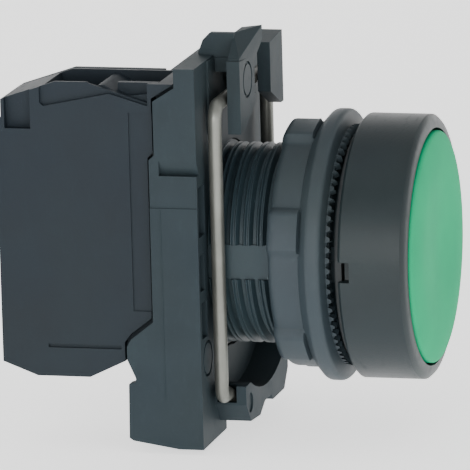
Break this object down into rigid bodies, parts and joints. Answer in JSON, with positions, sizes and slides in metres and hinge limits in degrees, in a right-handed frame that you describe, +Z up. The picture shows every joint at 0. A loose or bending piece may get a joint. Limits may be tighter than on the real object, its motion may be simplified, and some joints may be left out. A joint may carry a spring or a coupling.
{
  "type": "industrial push button",
  "caption": "Panel-mounted push button with a green flush cap, fixing nut, mounting collar with wire spring and a screw-terminal contact block.",
  "frame": {"origin": "on the button's axis, at the rear plane of the bezel, which seats on the panel's front face", "axes": "-Y out of the front of the button, +Z up, +X to the right seen from the front"},
  "size_m": [0.03, 0.046, 0.0444],
  "materials": {
    "bezel": "satin moulded plastic",
    "barrel": "satin moulded plastic",
    "gasket": "matt rubber",
    "cap": "smooth green plastic",
    "stem": "natural plastic",
    "seal": "matt rubber",
    "return_spring": "spring wire",
    "nut": "satin moulded plastic",
    "collar": "satin moulded plastic",
    "wire": "drawn wire",
    "lever": "satin moulded plastic",
    "block": "satin moulded plastic",
    "cover": "satin moulded plastic",
    "plunger": "red moulded plastic",
    "bridge": "stamped brass",
    "block_spring": "spring wire",
    "tip": "silver alloy",
    "screw": "zinc plated",
    "clamp": "zinc plated"
  },
  "bodies": {
    "housing": {"bezel": "bezel", "head_barrel": "barrel", "panel_gasket": "gasket", "collar_frame": "collar", "wire_spring": "wire", "block_housing": "block", "block_cover": "cover", "fixed_contact_upper": "bridge", "fixed_contact_lower": "bridge", "fixed_tip_upper": "tip", "fixed_tip_lower": "tip"},
    "button": {"push_cap": "cap", "push_stem": "stem", "return_spring": "return_spring", "diaphragm_seal": "seal"},
    "nut": {"fixing_nut": "nut"},
    "lever": {"release_lever": "lever"},
    "plunger": {"contact_plunger": "plunger", "plunger_spring": "block_spring"},
    "bridge": {"contact_bridge": "bridge", "moving_tip_upper": "tip", "moving_tip_lower": "tip", "bridge_spring": "block_spring"},
    "screw_upper": {"terminal_screw_upper": "screw"},
    "screw_lower": {"terminal_screw_lower": "screw"},
    "clamp_upper": {"terminal_clamp_upper": "clamp"},
    "clamp_lower": {"terminal_clamp_lower": "clamp"}
  },
  "joints": [
    {"name": "button_press", "type": "slide", "parent": "housing", "child": "button", "axis": [0, 1, 0], "range_m": [0, 0.0042], "stiffness_N_per_m": 1500, "springref_m": -0.002, "deforming": ["return_spring", "diaphragm_seal"]},
    {"name": "plunger_slide", "type": "slide", "parent": "housing", "child": "plunger", "axis": [0, 1, 0], "range_m": [0, 0.0042], "deforming": ["plunger_spring"]},
    {"name": "bridge_slide", "type": "slide", "parent": "housing", "child": "bridge", "axis": [0, 1, 0], "range_m": [0, 0.0028], "deforming": ["bridge_spring"]},
    {"name": "nut_turn", "type": "hinge", "parent": "housing", "child": "nut", "pos_m": [0, 0.005, 0], "axis": [0, -1, 0], "continuous": true},
    {"name": "lever_tilt", "type": "hinge", "parent": "housing", "child": "lever", "pos_m": [0.00045, 0.014, 0.0199], "axis": [1, 0, 0], "range_deg": [-12, 0], "stiffness_Nm_per_rad": 0.02},
    {"name": "screw_turn_upper", "type": "hinge", "parent": "housing", "child": "screw_upper", "pos_m": [-0.0094, 0.0326, 0.014], "axis": [0, -1, 0], "range_deg": [0, 1440]},
    {"name": "screw_turn_lower", "type": "hinge", "parent": "housing", "child": "screw_lower", "pos_m": [-0.0094, 0.0326, -0.0082], "axis": [0, -1, 0], "range_deg": [0, 1440]},
    {"name": "clamp_slide_upper", "type": "slide", "parent": "housing", "child": "clamp_upper", "axis": [0, 1, 0], "range_m": [0, 0.002]},
    {"name": "clamp_slide_lower", "type": "slide", "parent": "housing", "child": "clamp_lower", "axis": [0, 1, 0], "range_m": [0, 0.002]}
  ],
  "couplings": [
    {"joint": "plunger_slide", "follows": "button_press", "ratio": 1},
    {"joint": "bridge_slide", "follows": "button_press", "ratio": 0.66667},
    {"joint": "clamp_slide_upper", "follows": "screw_turn_upper", "m_per_rad": 0.0000795},
    {"joint": "clamp_slide_lower", "follows": "screw_turn_lower", "m_per_rad": 0.0000795}
  ]
}
